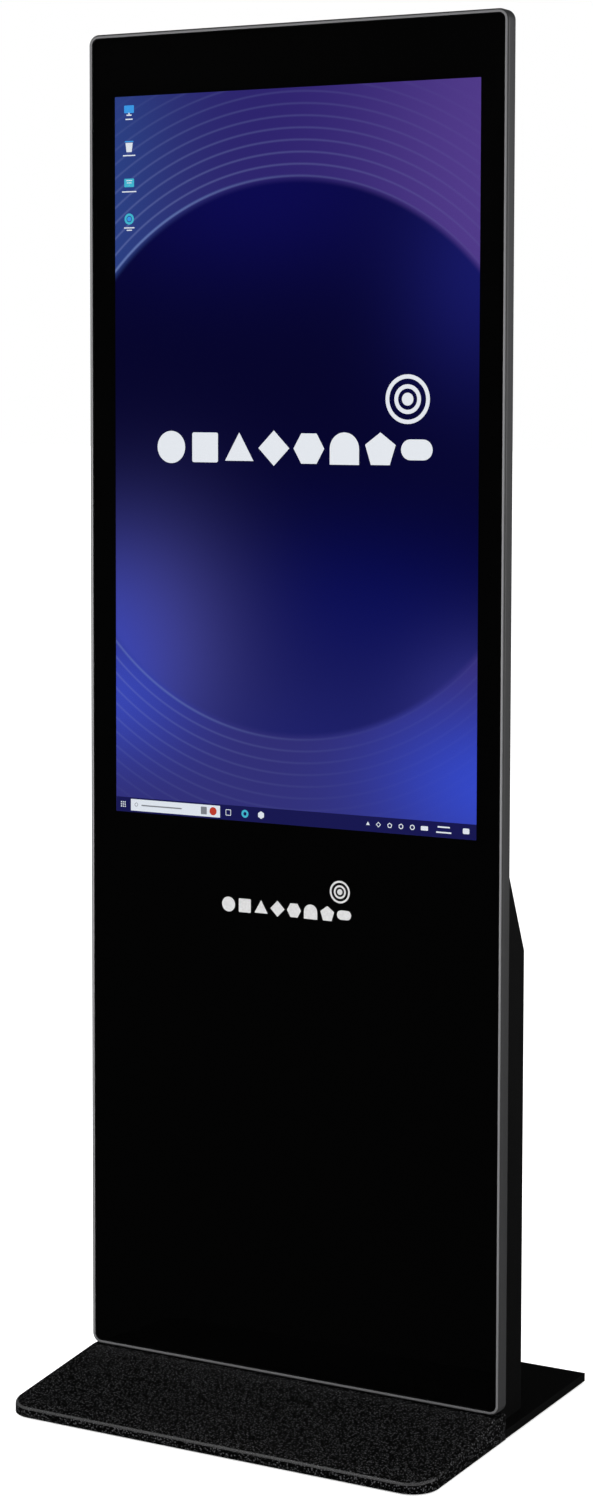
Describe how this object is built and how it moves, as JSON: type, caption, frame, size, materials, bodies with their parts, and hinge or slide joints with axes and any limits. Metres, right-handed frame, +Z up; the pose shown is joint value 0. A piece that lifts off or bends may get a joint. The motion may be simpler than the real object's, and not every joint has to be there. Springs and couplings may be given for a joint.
{
  "type": "touchscreen kiosk",
  "caption": "Free-standing portrait touchscreen kiosk with full-height black glass, slim rear cover, lockable service cabinet and a ramped steel floor base.",
  "frame": {"origin": "centre of the floor base's footprint, on the floor", "axes": "+Z up; the glass faces -Y; +X is to the right for a person standing in front of the screen"},
  "size_m": [0.606, 0.48, 1.786],
  "materials": {
    "powder_coat": "fine-textured black powder coat on sheet steel",
    "anodised_frame": "satin grey anodised",
    "front_glass": "polished tempered glass",
    "black_print": "black ink printed behind the glass",
    "screen": "lit display",
    "foam_tape": "closed-cell foam tape",
    "zinc_steel": "zinc-plated steel sheet",
    "acrylic": "frosted light guide",
    "aluminium_case": "folded aluminium",
    "rubber": "matte",
    "black_plastic": "moulded, fine spark texture",
    "chrome": "nickel plated",
    "circuit_board": "solder mask",
    "speaker_cone": "coated paper"
  },
  "bodies": {
    "kiosk": {"base_plate": "powder_coat", "base_ramp_cover": "powder_coat", "upper_cover": "powder_coat", "cabinet_shell": "powder_coat", "hinge_fixed_leaf_lower": "powder_coat", "hinge_fixed_leaf_upper": "powder_coat", "front_frame": "anodised_frame", "front_glass": "front_glass", "bezel_mask": "black_print", "lcd_panel": "screen", "glass_seal": "foam_tape", "light_guide": "acrylic", "power_supply": "aluminium_case", "upright_left": "zinc_steel", "upright_right": "zinc_steel", "upright_bolt_1": "zinc_steel", "upright_bolt_2": "zinc_steel", "upright_bolt_3": "zinc_steel", "upright_bolt_4": "zinc_steel", "crossbar_lower": "zinc_steel", "crossbar_upper": "zinc_steel", "lcd_chassis": "zinc_steel", "lcd_bracket_1": "zinc_steel", "lcd_bracket_2": "zinc_steel", "lcd_bracket_3": "zinc_steel", "lcd_bracket_4": "zinc_steel", "pc_tray": "zinc_steel", "floor_pad_1": "rubber", "floor_pad_2": "rubber", "floor_pad_3": "rubber", "floor_pad_4": "rubber", "mains_lead": "rubber", "video_lead": "rubber", "fan_housing_left": "black_plastic", "fan_housing_right": "black_plastic", "mini_pc": "black_plastic", "inlet_module": "black_plastic", "port_panel": "black_plastic", "hinge_pin_lower": "chrome", "hinge_pin_upper": "chrome", "power_button_bezel": "chrome", "driver_board": "circuit_board", "touch_controller": "circuit_board", "speaker_left": "speaker_cone", "speaker_right": "speaker_cone"},
    "door": {"service_door": "powder_coat", "hinge_door_leaf_lower": "powder_coat", "hinge_door_leaf_upper": "powder_coat", "lock_housing": "chrome"},
    "lock": {"lock_barrel": "chrome", "lock_cam": "zinc_steel"},
    "fan_left": {"fan_rotor_left": "black_plastic"},
    "fan_right": {"fan_rotor_right": "black_plastic"},
    "rocker": {"power_rocker": "black_plastic"},
    "fuse_carrier": {"fuse_drawer": "black_plastic"},
    "button": {"power_button": "black_plastic"}
  },
  "joints": [
    {"name": "door_hinge", "type": "hinge", "parent": "kiosk", "child": "door", "pos_m": [0.193, 0.079, 0.29], "axis": [0, 0, -1], "range_deg": [0, 110]},
    {"name": "lock_turn", "type": "hinge", "parent": "door", "child": "lock", "pos_m": [-0.165, 0.074, 0.29], "axis": [0, 1, 0], "range_deg": [0, 90]},
    {"name": "fan_left_spin", "type": "hinge", "parent": "kiosk", "child": "fan_left", "pos_m": [-0.075, 0.061, 0.545], "axis": [0, 1, 0], "continuous": true},
    {"name": "fan_right_spin", "type": "hinge", "parent": "kiosk", "child": "fan_right", "pos_m": [0.075, 0.061, 0.545], "axis": [0, 1, 0], "continuous": true},
    {"name": "rocker_tilt", "type": "hinge", "parent": "kiosk", "child": "rocker", "pos_m": [0.118, 0.0715, 0.056], "axis": [1, 0, 0], "range_deg": [0, 20]},
    {"name": "fuse_slide", "type": "slide", "parent": "kiosk", "child": "fuse_carrier", "axis": [0, 1, 0], "range_m": [0, 0.016]},
    {"name": "button_press", "type": "slide", "parent": "kiosk", "child": "button", "axis": [0, -1, 0], "range_m": [0, 0.002], "stiffness_N_per_m": 800}
  ]
}
